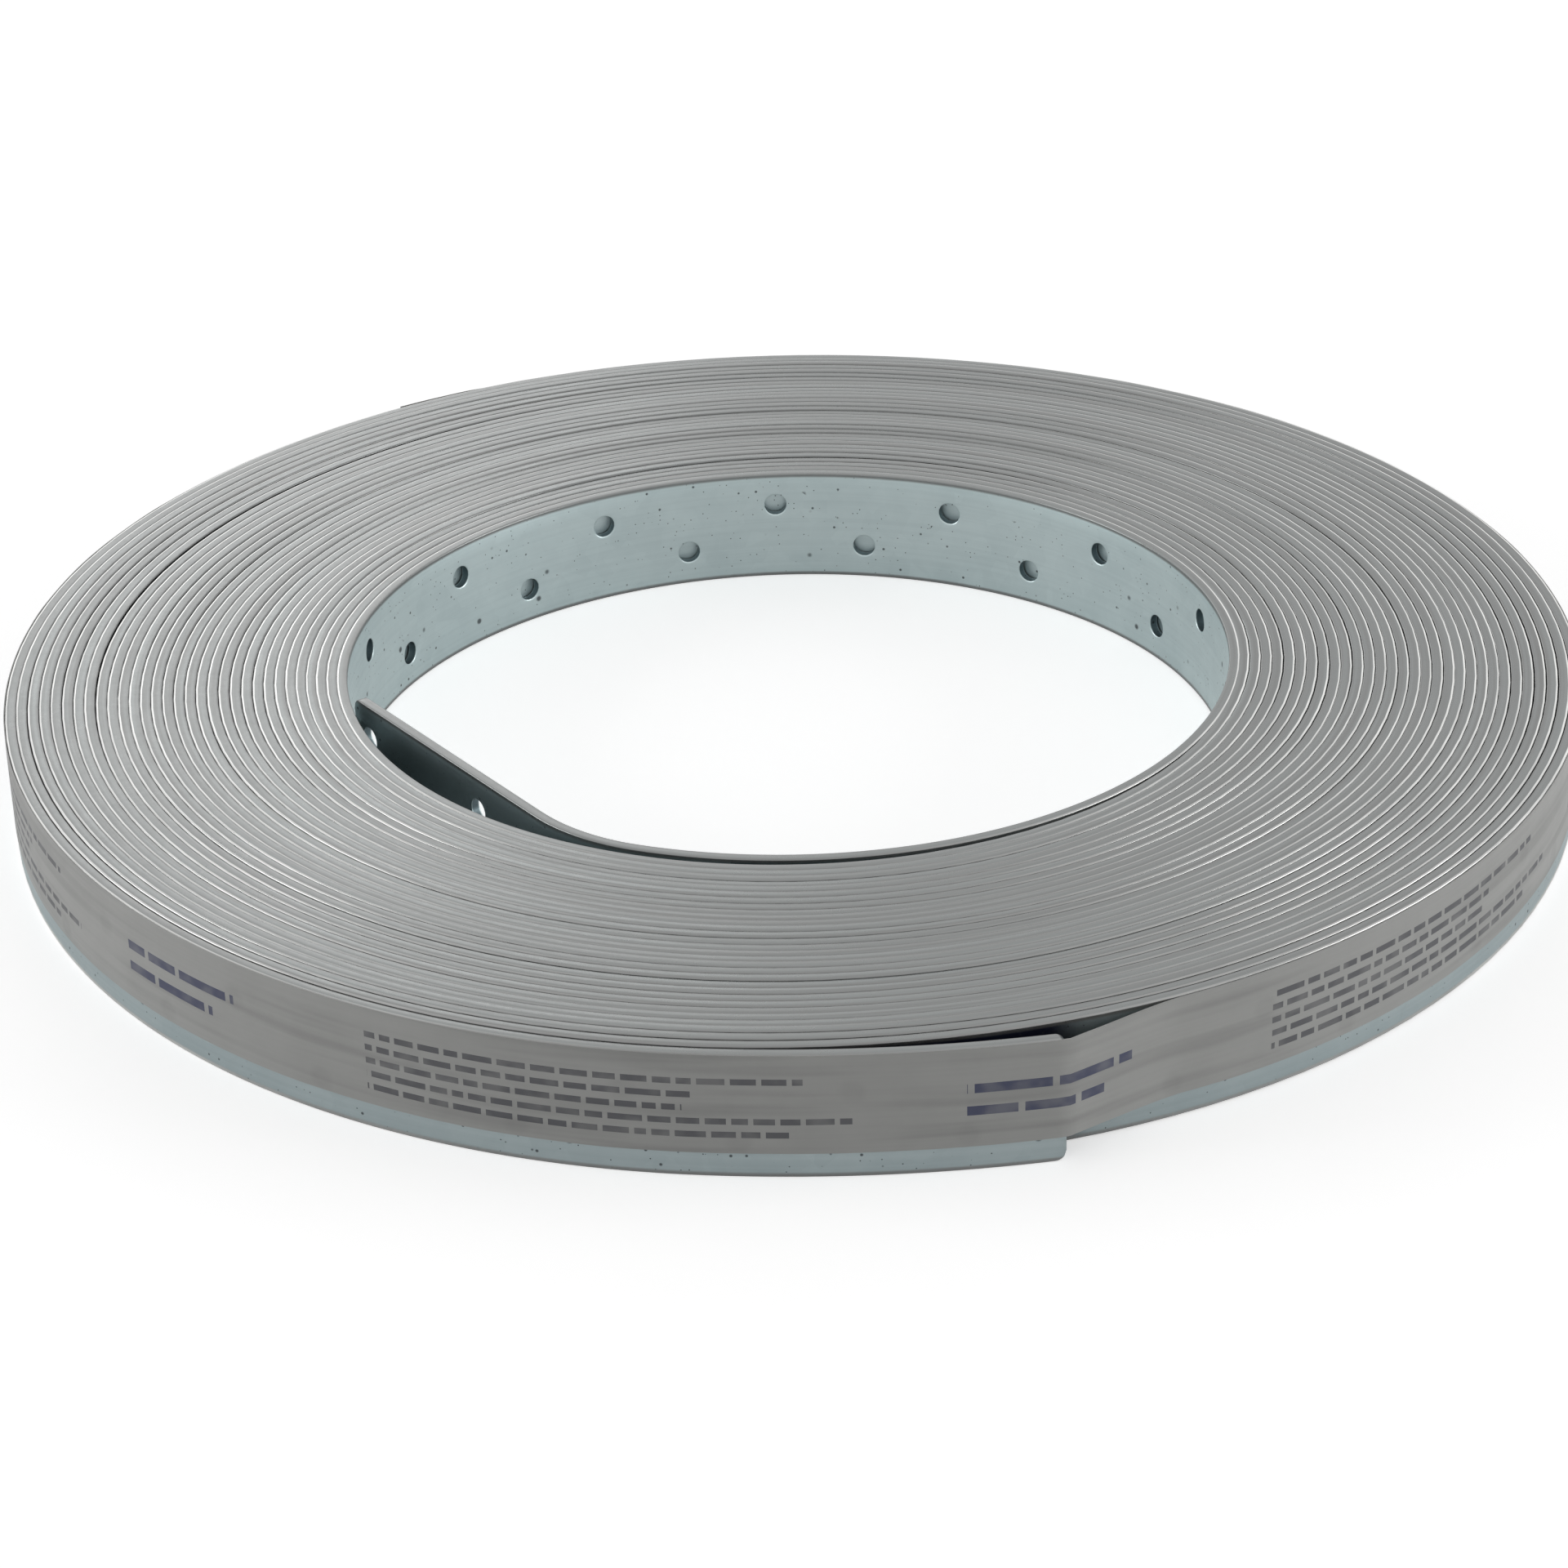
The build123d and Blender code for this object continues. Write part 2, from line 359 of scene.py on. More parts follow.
def winding_line():
    """Node group: the strap's inner radius and its edge's rise, at an angle from the merge point."""
    tree, net, _, at = new_tree("winding_line", [("Turn", FLOAT)] + LINE_INPUTS,
                                [("Radius", FLOAT), ("Rise", FLOAT)])
    turn = at["Turn"]

    turns = turn / FULL_TURN
    free = at["Bore Radius"] - at["Spring Shift"] * 0.5 + at["Turn Pitch"] * turns
    pushed = at["Bore Radius"] + at["Spring Shift"] * (net.math("COSINE", turn) + 1.0) * (turns > 0.5)
    pushed = pushed + at["Tight Pitch"] * net.math("MAXIMUM", net.math("FLOOR", turns - 0.5), 0.0)
    play = net.ramp(free - pushed, PLAY_LOW, PLAY_HIGH) * net.ramp(turn, 3.0, 9.0)
    spiral = net.math("SMOOTH_MAX", free, pushed, CONTACT_BLEND)
    spiral = spiral + at["Gap Wander"] * net.noise_line(turn * 0.41, 3.7) * play
    heading = turn + at["Merge Angle"]
    out_of_round = net.node("ShaderNodeTexNoise", {
        "Vector": net.vector(net.math("COSINE", heading), net.math("SINE", heading), turn * 0.012),
        "Scale": 0.9, "Detail": 0.0})
    leaving = net.field(out_of_round.outputs[0]) * 4.0 - 2.0
    spiral = spiral + at["Shape Wander"] * leaving * net.ramp(turn, 6.0, 40.0)
    loose = net.math("MAXIMUM", net.math("COSINE", heading - LOOSE_SIDE), 0.0)
    outside = net.ramp(turn - at["End Turn"], LOOSE_START, LOOSE_START + LOOSE_RUN)
    spiral = spiral + at["Group Gap"] * loose * loose * outside
    outer_face = spiral + at["Thickness"]
    lift_run = (turn - at["End Turn"]) * outer_face + at["Tongue Length"]
    lift_run = net.math("MAXIMUM", lift_run, 0.0)
    lift = lift_run * lift_run * 0.5 * (1.0 / outer_face - 1.0 / at["Tongue Radius"])
    spiral = spiral + lift

    swing = at["Bend Offset"] * net.math("SINE", turn)
    bend = at["Bend Offset"] * net.math("COSINE", turn) + net.math(
        "SQRT", at["Bend Radius"] * at["Bend Radius"] - swing * swing)
    tail = at["Tail Distance"] / net.math("COSINE", turn + at["Tail Lean"])
    inner = net.node("GeometryNodeSwitch", {
        "Switch": turn < at["Bend Start"], "False": bend, "True": tail}, input_type="FLOAT")
    radius = net.node("GeometryNodeSwitch", {
        "Switch": turn < 0.0, "False": spiral, "True": inner.outputs[0]}, input_type="FLOAT")

    ring = net.node("ShaderNodeFloatCurve", {"Value": (turns - RISE_START) / RISE_TURNS})
    points = ring.mapping.curves[0].points
    last = len(RISE_SHARES) - 1
    for index in range(1, last):
        points.new(index / last, RISE_SHARES[index])
    points[0].location = (0.0, RISE_SHARES[0])
    points[last].location = (1.0, RISE_SHARES[last])
    for point in points:
        point.handle_type = "VECTOR"
    ring.mapping.update()
    swell = net.noise_line(turn * 0.13, 11.2) * 0.6 + net.noise_line(turn * 0.5, 27.9) * 0.4
    middle_turns = net.ramp(turns, 1.2, 2.4) * net.ramp(at["End Turn"] - turn, 0.2, 6.0)
    rise = (at["Edge Rise"] * net.field(ring.outputs[0]) + at["Edge Wander"] * swell) * middle_turns
    rise = net.math("MAXIMUM", rise, 0.0)
    net.node("NodeGroupOutput", {"Radius": radius.outputs[0], "Rise": rise})
    return tree


def use_line(net, line, turn, given):
    """Put the winding line into a tree, fed by that tree's inputs of the same names."""
    made = net.node("GeometryNodeGroup", node_tree=line)
    net.put(made.inputs["Turn"], turn)
    for label, _ in LINE_INPUTS:
        net.put(made.inputs[label], given.outputs[label])
    return net.field(made.outputs["Radius"]), net.field(made.outputs["Rise"])


def edge_rows(sizes):
    """Distances from a strap edge at which the rounded edge has its rows."""
    return [sizes.edge_round * (1 - cos(pi / 2 * step / EDGE_STEPS))
            for step in range(EDGE_STEPS + 1)]


def row_heights(sizes):
    """Heights of the lower and the upper row of holes."""
    return sizes.width / 2 - sizes.row_spacing / 2, sizes.width / 2 + sizes.row_spacing / 2


def steps(start, end, count):
    return [start + (end - start) * index / count for index in range(count + 1)]


def perforated_cell(sizes):
    """Flat mesh of two hole steps of the strap: x along it, y across it, one hole in each row."""
    mesh = bpy.data.meshes.new("perforated_cell")
    shape = bmesh.new()
    rim_layer = shape.verts.layers.float.new("rim")
    block = sizes.hole_radius * SQUARE_SHARE
    low_row, high_row = row_heights(sizes)
    edge = edge_rows(sizes)
    rows = edge + steps(low_row - block, low_row + block, SIDE_STEPS)
    rows += steps(high_row - block, high_row + block, SIDE_STEPS)
    rows += [sizes.width - row for row in reversed(edge)]
    low_rows, high_rows = EDGE_STEPS + 1, EDGE_STEPS + SIDE_STEPS + 2

    first = sizes.hole_margin
    second = first + sizes.hole_step
    start = first - sizes.hole_step / 2
    end = second + sizes.hole_step / 2
    columns = steps(start, first - block, END_STEPS)[:-1]
    columns += steps(first - block, first + block, SIDE_STEPS)
    columns += steps(first + block, second - block, MIDDLE_STEPS)[1:-1]
    second_column = len(columns)
    columns += steps(second - block, second + block, SIDE_STEPS)
    columns += steps(second + block, end, END_STEPS)[1:]
    blocks = [(END_STEPS, high_rows, first, high_row), (second_column, low_rows, second, low_row)]
    side = SIDE_STEPS

    def in_block(column, row):
        return any(c <= column < c + side and r <= row < r + side for c, r, _, _ in blocks)

    def inside_block(column, row):
        return any(c < column < c + side and r < row < r + side for c, r, _, _ in blocks)

    grid = {(i, j): shape.verts.new((columns[i], rows[j], 0))
            for i in range(len(columns)) for j in range(len(rows)) if not inside_block(i, j)}
    for i in range(len(columns) - 1):
        for j in range(len(rows) - 1):
            if not in_block(i, j):
                shape.faces.new([grid[i, j], grid[i + 1, j], grid[i + 1, j + 1], grid[i, j + 1]])
    for column, row, along, across in blocks:
        loop = [(column + k, row) for k in range(side)]
        loop += [(column + side, row + k) for k in range(side)]
        loop += [(column + side - k, row + side) for k in range(side)]
        loop += [(column, row + side - k) for k in range(side)]
        outer = [grid[key] for key in loop]
        for share, depth in RIM_RINGS:
            inner = []
            for key in loop:
                around = atan2(rows[key[1]] - across, columns[key[0]] - along)
                reach = sizes.hole_radius * share
                vert = shape.verts.new((along + reach * cos(around), across + reach * sin(around), 0))
                vert[rim_layer] = depth * sizes.edge_round
                inner.append(vert)
            for k in range(len(loop)):
                shape.faces.new([outer[k - 1], outer[k], inner[k], inner[k - 1]])
            outer = inner
    bmesh.ops.recalc_face_normals(shape, faces=shape.faces)
    if sum(face.normal.z for face in shape.faces) < 0:
        bmesh.ops.reverse_faces(shape, faces=shape.faces)
    shape.to_mesh(mesh)
    shape.free()
    return mesh


def wound_strap(line):
    """Node tree: perforate, thicken and wind the strap."""
    inputs = [("Cell", GEOMETRY)] + LINE_INPUTS + [(label, FLOAT) for label in (
        "Start Turn", "Width", "Edge Round", "Edge Burr", "Burr Reach", "Corner Radius", "End Margin",
        "Cell Length", "Column Length")]
    inputs += [(label, WHOLE) for label in ("Inner Cells", "Outer Cells", "Line Points")]
    inputs += [("Finish", MATERIAL)]
    tree, net, given, at = new_tree("wound_strap", inputs, [("Strap", GEOMETRY)])

    index = net.field(net.node("GeometryNodeInputIndex").outputs[0])
    turn_step = (at["End Turn"] - at["Start Turn"]) / (at["Line Points"] - 1.0)
    turn = at["Start Turn"] + index * turn_step
    radius, rise = use_line(net, line, turn, given)
    heading = turn + at["Merge Angle"]
    place = net.vector(radius * net.math("COSINE", heading), radius * net.math("SINE", heading))
    points = net.node("GeometryNodeMeshLine", {"Count": at["Line Points"]})
    bent_line = net.node("GeometryNodeSetPosition", {"Geometry": points.outputs[0], "Position": place})
    curve = net.node("GeometryNodeMeshToCurve", {0: bent_line.outputs[0]}).outputs[0]
    total = net.field(net.node("GeometryNodeCurveLength", {0: curve}).outputs[0])

    start = at["Cell Length"] / 4.0 - at["End Margin"]
    inner_row = net.node("GeometryNodeMeshLine", {
        "Count": at["Inner Cells"], "Offset": net.vector(at["Cell Length"])})
    outer_start = total + start - at["Cell Length"] * at["Outer Cells"]
    outer_row = net.node("GeometryNodeMeshLine", {
        "Count": at["Outer Cells"], "Start Location": net.vector(outer_start + start),
        "Offset": net.vector(at["Cell Length"])})
    cells = net.node("GeometryNodeInstanceOnPoints", {
        "Points": join(net, inner_row, outer_row).outputs[0], "Instance": given.outputs["Cell"]})
    cells = net.node("GeometryNodeRealizeInstances", {0: cells.outputs[0]})

    plain_start = at["Cell Length"] * at["Inner Cells"] - start
    plain_length = outer_start - plain_start
    columns = net.math("ROUND", plain_length / at["Column Length"])
    last_row = 2 * EDGE_STEPS + 3
    grid = net.node("GeometryNodeMeshGrid", {
        "Size X": 1.0, "Size Y": 1.0, "Vertices X": columns, "Vertices Y": last_row + 1})
    share_x, share_y, _ = net.parts(net.node("GeometryNodeInputPosition").outputs[0])
    row = net.math("ROUND", (share_y + 0.5) * float(last_row))
    edge_row = net.math("MINIMUM", row, float(last_row) - row)
    round_row = net.math("MINIMUM", edge_row, float(EDGE_STEPS))
    from_edge = at["Edge Round"] * (1.0 - net.math("COSINE", round_row * (pi / 2 / EDGE_STEPS)))
    from_edge = from_edge + (edge_row - round_row) * (at["Burr Reach"] - at["Edge Round"])
    upper = share_y > 0.0
    across = from_edge + upper * (at["Width"] - from_edge * 2.0)
    plain = net.node("GeometryNodeSetPosition", {
        "Geometry": grid.outputs[0],
        "Position": net.vector(plain_start + (share_x + 0.5) * plain_length, across)})
    solid = thicken(net, weld(net, cells, plain), at["Thickness"], net.vector(0.0, 0.0, 1.0))

    along, across, depth = net.parts(net.node("GeometryNodeInputPosition").outputs[0])
    squeeze = at["End Margin"] - SQUARE_SHARE / 2.0 * at["End Margin"]
    low_end = (along + start) * squeeze / (squeeze + start)
    near_low = along < squeeze
    along = along + near_low * (low_end - along)
    left = total - along
    high_end = (left + start) * squeeze / (squeeze + start)
    near_high = left < squeeze
    along = along - near_high * (high_end - left)
    end_distance = net.math("MINIMUM", along, total - along)
    short_of = net.math("MAXIMUM", at["Corner Radius"] - end_distance, 0.0)
    corner = at["Corner Radius"] - net.math("SQRT", net.math(
        "MAXIMUM", at["Corner Radius"] * at["Corner Radius"] - short_of * short_of, 0.0))
    middle = at["Width"] * 0.5
    across = middle + (across - middle) * (1.0 - corner / middle)
    edge = at["Edge Round"] - middle + net.math("ABSOLUTE", across - middle) + corner
    edge = net.math("MAXIMUM", edge, 0.0)
    inset = at["Edge Round"] - net.math("SQRT", net.math(
        "MAXIMUM", at["Edge Round"] * at["Edge Round"] - edge * edge, 0.0))
    rim = net.node("GeometryNodeInputNamedAttribute", {"Name": "rim"}, data_type="FLOAT")
    from_side = net.math("MAXIMUM", middle - net.math("ABSOLUTE", across - middle), 0.0)
    bulge = net.math("MAXIMUM", 1.0 - from_side / at["Burr Reach"], 0.0)
    inset = inset + net.field(rim.outputs[0]) - at["Edge Burr"] * bulge
    outer_face = depth > at["Thickness"] * 0.5
    depth = inset + outer_face * (at["Thickness"] - inset * 2.0)

    flat = net.node("GeometryNodeStoreNamedAttribute", {
        "Geometry": solid.outputs[0], "Name": "flat", "Value": net.vector(along, across, depth)},
        data_type="FLOAT_VECTOR", domain="POINT")
    kept = net.node("GeometryNodeInputNamedAttribute", {"Name": "flat"}, data_type="FLOAT_VECTOR")
    along, across, depth = net.parts(kept.outputs[0])
    sample = net.node("GeometryNodeSampleCurve", {"Curves": curve, "Value": rise, "Length": along},
                      mode="LENGTH", data_type="FLOAT", use_all_curves=True)
    x, y, _ = net.parts(sample.outputs["Position"])
    run_x, run_y, _ = net.parts(sample.outputs["Tangent"])
    height = across + net.field(sample.outputs["Value"])
    wound = net.node("GeometryNodeSetPosition", {
        "Geometry": flat.outputs[0],
        "Position": net.vector(x + run_y * depth, y - run_x * depth, height)})
    finish_tree(net, wound, given.outputs["Finish"])
    return tree


def wrapped_label(line):
    """Node tree: lay the label tape round the last turn, over the step at the strap's end."""
    inputs = LINE_INPUTS + [(label, FLOAT) for label in (
        "Width", "Bottom", "Film", "Clearance", "Overlap", "Seam Turn", "Reference Radius")]
    inputs += [("Columns", WHOLE), ("Rows", WHOLE), ("Finish", MATERIAL)]
    tree, net, given, at = new_tree("wrapped_label", inputs, [("Label", GEOMETRY)])
    grid = net.node("GeometryNodeMeshGrid", {
        "Size X": 1.0, "Size Y": 1.0, "Vertices X": at["Columns"], "Vertices Y": at["Rows"]})
    share_x, share_y, _ = net.parts(net.node("GeometryNodeInputPosition").outputs[0])
    laid = (share_x + 0.5) * (at["Overlap"] + FULL_TURN)
    sheet = net.node("GeometryNodeStoreNamedAttribute", {
        "Geometry": grid.outputs[0], "Name": "flat",
        "Value": net.vector(laid * at["Reference Radius"], (share_y + 0.5) * at["Width"])},
        data_type="FLOAT_VECTOR", domain="POINT")

    free_end = at["End Turn"] - FULL_TURN
    turn = net.math("WRAP", laid + at["Seam Turn"], at["End Turn"], free_end)
    stand_off = at["Thickness"] + at["Clearance"]
    radius, _ = use_line(net, line, turn, given)
    tip_radius, _ = use_line(net, line, at["End Turn"] * 1.0, given)
    foot_radius, _ = use_line(net, line, free_end, given)
    bridge = net.math("ARCCOSINE", foot_radius / tip_radius) * BRIDGE_SHARE
    slope = net.math("MAXIMUM", 1.0 - (turn - free_end) / bridge, 0.0)
    slope = net.math("POWER", slope, BRIDGE_POWER)
    radius = radius + stand_off + (tip_radius - foot_radius) * slope
    lap = net.ramp(laid, FULL_TURN - 0.03, FULL_TURN - 0.005)
    radius = radius + lap * (at["Film"] + at["Clearance"])
    slack = net.node("ShaderNodeTexNoise", {
        "Vector": net.vector(laid * 9.0, share_y * 1.4), "Scale": 1.0, "Detail": 1.0})
    slack = net.math("MAXIMUM", net.field(slack.outputs[0]) * 3.0 - 1.3, 0.0)
    radius = radius + at["Clearance"] * slack
    heading = laid + at["Seam Turn"] + at["Merge Angle"]
    sway = net.noise_line(laid * 1.3, 5.1) * 0.00012
    height = at["Bottom"] + (share_y + 0.5) * at["Width"] + sway
    place = net.vector(radius * net.math("COSINE", heading), radius * net.math("SINE", heading), height)
    wrapped = net.node("GeometryNodeSetPosition", {"Geometry": sheet.outputs[0], "Position": place})
    finish_tree(net, thicken(net, wrapped, at["Film"]), given.outputs["Finish"])
    return tree


def make_piece(name, base_mesh, tree, values, node):
    """Run a node tree on a mesh, keep the result as a plain piece, and let it stand for a CAD node."""
    piece = bpy.data.objects.new(name, base_mesh)
    bpy.context.scene.collection.objects.link(piece)
    rule = piece.modifiers.new("rule", "NODES")
    rule.node_group = tree
    for item in tree.interface.items_tree:
        if item.in_out == "INPUT" and item.name in values:
            rule[item.identifier] = values[item.name]
    depsgraph = bpy.context.evaluated_depsgraph_get()
    made = bpy.data.meshes.new_from_object(
        piece.evaluated_get(depsgraph), preserve_all_data_layers=True, depsgraph=depsgraph)
    piece.modifiers.remove(rule)
    made.name = name
    piece.data = made
    bpy.data.meshes.remove(base_mesh)
    if not made.polygons:
        raise RuntimeError(name + " came out empty")
    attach(piece, "root")
    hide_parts(node)
    return piece


def new_material(name, metallic, roughness):
    """A material with a Principled shader, the helper for its tree, and the shader."""
    material = bpy.data.materials.new(name)
    material.use_nodes = True
    material.node_tree.nodes.clear()
    net = Net(material.node_tree)
    shader = net.node("ShaderNodeBsdfPrincipled", {"Metallic": metallic, "Roughness": roughness})
    net.node("ShaderNodeOutputMaterial", {"Surface": shader.outputs[0]})
    return material, net, shader


def flat_place(net):
    """The place on the flat strap or tape: along it, across it and through it."""
    return net.node("ShaderNodeAttribute", attribute_name="flat").outputs["Vector"]


def mix(net, share, first, second):
    """Blend of two colours."""
    made = net.node("ShaderNodeMix", {0: share, 6: tint(first), 7: tint(second)}, data_type="RGBA")
    return made.outputs[2]


def tint(value):
    """A colour with its alpha, or a socket as it is."""
    if isinstance(value, bpy.types.NodeSocket):
        return value
    return (value[0], value[1], value[2], 1.0)


def darker(value, share):
    return tuple(part * share for part in value)


def noise(net, vector, scale, detail=2.0, roughness=0.5):
    made = net.node("ShaderNodeTexNoise", {
        "Vector": vector, "Scale": scale, "Detail": detail, "Roughness": roughness})
    return net.field(made.outputs[0])


def stretched(net, along, across, depth, shares):
    return net.vector(along * shares[0], across * shares[1], depth * shares[2])


def zinc_finish(colours, sizes):
    """Galvanised steel: cloudy zinc with streaks and specks, painted shade on the faces hidden between
    the turns and on the hole walls, and slit edges with a painted highlight on their outer corners.
    """
    material, net, shader = new_material("galvanised_steel", 0.92, 0.4)
    place = flat_place(net)
    along, across, depth = net.parts(place)

    def through(low, high, start=0.0, end=1.0):
        """Step between two shares of the strap's thickness, counted from its inner face."""
        return net.ramp(depth, sizes.thickness * low, sizes.thickness * high, start, end)

    cloud = noise(net, place, 38.0, 4.0, 0.6)
    fine = noise(net, place, 900.0, 3.0, 0.6)
    streak = noise(net, stretched(net, along, across, depth, (9.0, 950.0, 950.0)), 1.0, 3.0, 0.6)
    grains = net.node("ShaderNodeTexVoronoi", {"Vector": place, "Scale": 210.0})
    grain = net.field(net.node("ShaderNodeSeparateColor", {0: grains.outputs["Color"]}).outputs[0])
    speck = None
    dusty = net.ramp(noise(net, place, 60.0, 2.0), 0.35, 0.65) * 0.25
    for scale, rarity in ((900.0, 0.84), (420.0, 0.88), (190.0, 0.97)):
        pits = net.node("ShaderNodeTexVoronoi", {"Vector": place, "Scale": scale, "Randomness": 1.0})
        chance = net.field(net.node("ShaderNodeSeparateColor", {0: pits.outputs["Color"]}).outputs[1])
        pit = net.ramp(net.field(pits.outputs["Distance"]), 0.07, 0.17, 1.0, 0.0)
        pit = pit * (chance + dusty > rarity)
        speck = pit if speck is None else net.math("MAXIMUM", speck, pit)
    from_edge = sizes.width * 0.5 - net.math("ABSOLUTE", across - sizes.width * 0.5)
    edge = net.ramp(from_edge, 0.0005, 0.0011, 1.0, 0.0)
    speck = speck * (1.0 - edge)
    # Painted highlight: the slit edges' outer corners are coloured near white, most on the coil's left
    # and right sides and a little at its back, where the lamps would glint on them.
    x, y, _ = net.parts(net.node("ShaderNodeTexCoord").outputs["Object"])
    sideways = net.math("ABSOLUTE", x) / net.math("SQRT", x * x + y * y)
    outer_corner = edge * through(0.81, 0.89)
    painted_edge_highlight = outer_corner * (sideways * sideways * 0.95 + 0.05)
    painted_edge_highlight = painted_edge_highlight + outer_corner * net.ramp(y, 0.0, 0.09) * 0.2
    painted_edge_highlight = painted_edge_highlight * net.ramp(along, sizes.bore_radius * 0.9, sizes.bore_radius * 1.4)
    # Hole walls, darkened below with painted shade.
    punched = through(0.08, 0.2) * through(0.8, 0.92, 1.0, 0.0)
    punched = punched * net.ramp(from_edge, 0.001, 0.002)
    tip_place = sizes.strap_length - FULL_TURN * (sizes.outer_radius - sizes.thickness * 1.6)
    last_turn = net.ramp(along, tip_place - 0.004, tip_place + 0.005)
    outer_face = through(0.8, 0.95)
    inner_face = through(0.05, 0.2, 1.0, 0.0)
    tongue_place = sizes.strap_length - FULL_TURN * sizes.outer_radius - sizes.tongue_length * 2.0
    under_tongue = along > tongue_place
    on_tail = along < sizes.bore_radius * 1.2
    # Painted shade: outer faces hidden under the next turn are darkened, deeper under the lifted end and
    # less on the last turn and the tail; inner faces past the second turn and the hole walls are
    # darkened too.
    painted_shade = outer_face * (0.8 + under_tongue * 0.17 - last_turn * 0.72 - on_tail * 0.22)
    painted_shade = painted_shade + inner_face * (along > sizes.bore_radius * 16.0) * 0.8
    painted_shade = net.math("MAXIMUM", painted_shade, punched * 0.8)
    painted_shade_colour = mix(net, under_tongue, colours.painted_shade, colours.painted_shade_deep)

    shade = net.ramp(cloud, 0.3, 0.72) * 0.5 + grain * 0.22 + net.ramp(streak, 0.3, 0.75) * 0.28
    face_colour = mix(net, shade, colours.zinc, colours.zinc_dark)
    face_colour = mix(net, painted_shade, face_colour, painted_shade_colour)
    edge_share = edge * (net.ramp(streak, 0.25, 0.8) * 0.12 + 0.86)
    colour_out = mix(net, edge_share, face_colour, colours.edge)
    # Painted highlight laid over the slit edges' outer corners.
    painted_highlight_share = painted_edge_highlight * (net.ramp(cloud, 0.3, 0.7) * 0.4 + 0.6)
    colour_out = mix(net, painted_highlight_share, colour_out, colours.painted_edge_highlight)
    colour_out = mix(net, speck * 0.85, colour_out, colours.speck)
    net.put(shader.inputs["Base Color"], colour_out)
    roughness = cloud * 0.18 + fine * 0.12 + streak * 0.1 + 0.22 + speck * 0.2 - edge * 0.12
    net.put(shader.inputs["Roughness"], roughness)
    height = streak * 0.5 + fine * 0.25 + grain * 0.2 - speck * 0.8
    bump = net.node("ShaderNodeBump", {"Strength": 0.35, "Distance": 0.00006, "Height": height})
    net.put(shader.inputs["Normal"], bump.outputs[0])
    return material


def film_finish(colours, sizes, label):
    """Label film: pale, with plain bars for print, and soft dents where it crosses the nail holes,
    bumped and darkened with painted shade.
    """
    material, net, shader = new_material("label_film", 0.0, 0.5)
    place = flat_place(net)
    along, across, _ = net.parts(place)
    print_repeat = 0.172
    spot = net.math("WRAP", along, print_repeat, 0.0)

    def bars(word, gap, line_pitch, line_share, first_line, top, start, last, ragged, seed):
        """Rows of plain bars of uneven length between two heights on the tape."""
        line = net.math("FLOOR", (across - first_line) / line_pitch)
        in_line = net.math("FRACT", (across - first_line) / line_pitch) < line_share
        breaks = net.node("ShaderNodeTexVoronoi", {"W": along / word + line * 37.3 + seed, "Scale": 1.0},
                          voronoi_dimensions="1D", feature="DISTANCE_TO_EDGE")
        ends = net.node("ShaderNodeTexWhiteNoise", {"W": line + seed}, noise_dimensions="1D")
        in_row = spot < last - net.field(ends.outputs[0]) * ragged
        in_bar = net.field(breaks.outputs["Distance"]) > gap
        return in_line * in_bar * (spot > start) * in_row * (across > first_line) * (across < top)

    small = bars(word=0.0052, gap=0.09, line_pitch=0.0027, line_share=0.46, first_line=0.0032,
                 top=0.0167, start=0.006, last=0.096, ragged=0.03, seed=1.3)
    heavy = bars(word=0.012, gap=0.05, line_pitch=0.0045, line_share=0.42, first_line=0.0064,
                 top=0.0128, start=0.116, last=0.15, ragged=0.012, seed=4.1)
    wear = net.ramp(noise(net, place, 160.0, 2.0), 0.3, 0.6) * 0.3 + 0.7

    mottle = noise(net, place, 55.0, 4.0, 0.6)
    threads = noise(net, stretched(net, along, across, across, (30.0, 1500.0, 0.0)), 1.0, 2.0)
    step = sizes.hole_step * 2.0
    dents = None
    for number, row_height in enumerate(reversed(row_heights(sizes))):
        offset = net.math("WRAP", along + sizes.hole_step * number, step * 0.5, step * -0.5)
        rise = across - (row_height - label.bottom)
        reach = net.math("SQRT", offset * offset + rise * rise)
        dent = net.ramp(reach, 0.0012, 0.0032, 1.0, 0.0)
        dents = dent if dents is None else dents + dent
    smear = noise(net, stretched(net, along, across, across, (14.0, 260.0, 0.0)), 1.0, 2.0)
    # Mottle, threads and smears are the film's own tone; the dents' share is painted shade where the
    # film sinks over the nail holes.
    shade = net.ramp(mottle, 0.3, 0.75) * 0.12 + net.ramp(threads, 0.3, 0.7) * 0.05 + dents * 0.1
    shade = shade + net.ramp(smear, 0.45, 0.7) * 0.3
    colour_out = mix(net, shade, colours.film, darker(colours.film, 0.45))
    colour_out = mix(net, small * wear * 0.82, colour_out, colours.ink)
    colour_out = mix(net, heavy * wear * 0.9, colour_out, colours.ink_blue)
    net.put(shader.inputs["Base Color"], colour_out)
    net.put(shader.inputs["Roughness"], mottle * 0.2 + threads * 0.08 + 0.3)
    height = mottle * 0.5 + threads * 0.12 - dents * 1.2
    bump = net.node("ShaderNodeBump", {"Strength": 0.5, "Distance": 0.00012, "Height": height})
    net.put(shader.inputs["Normal"], bump.outputs[0])
    return material


def floor_finish(colours):
    """Pale studio floor that looks white to the camera and keeps the coil's shadow."""
    material, net, shader = new_material("studio_floor", 0.0, 0.7)
    place = net.node("ShaderNodeTexCoord").outputs["Object"]
    grain = noise(net, place, 60.0, 3.0)
    pale = mix(net, grain, colours.floor, darker(colours.floor, 0.985))
    net.put(shader.inputs["Base Color"], pale)
    path = net.node("ShaderNodeLightPath")
    seen = net.math("MAXIMUM", path.outputs["Is Camera Ray"], path.outputs["Is Transmission Ray"])
    shader.inputs["Emission Color"].default_value = (1, 1, 1, 1)
    mirrored = net.field(path.outputs["Is Glossy Ray"])
    net.put(shader.inputs["Emission Strength"], seen * 0.5 + mirrored * 0.14)
    return material


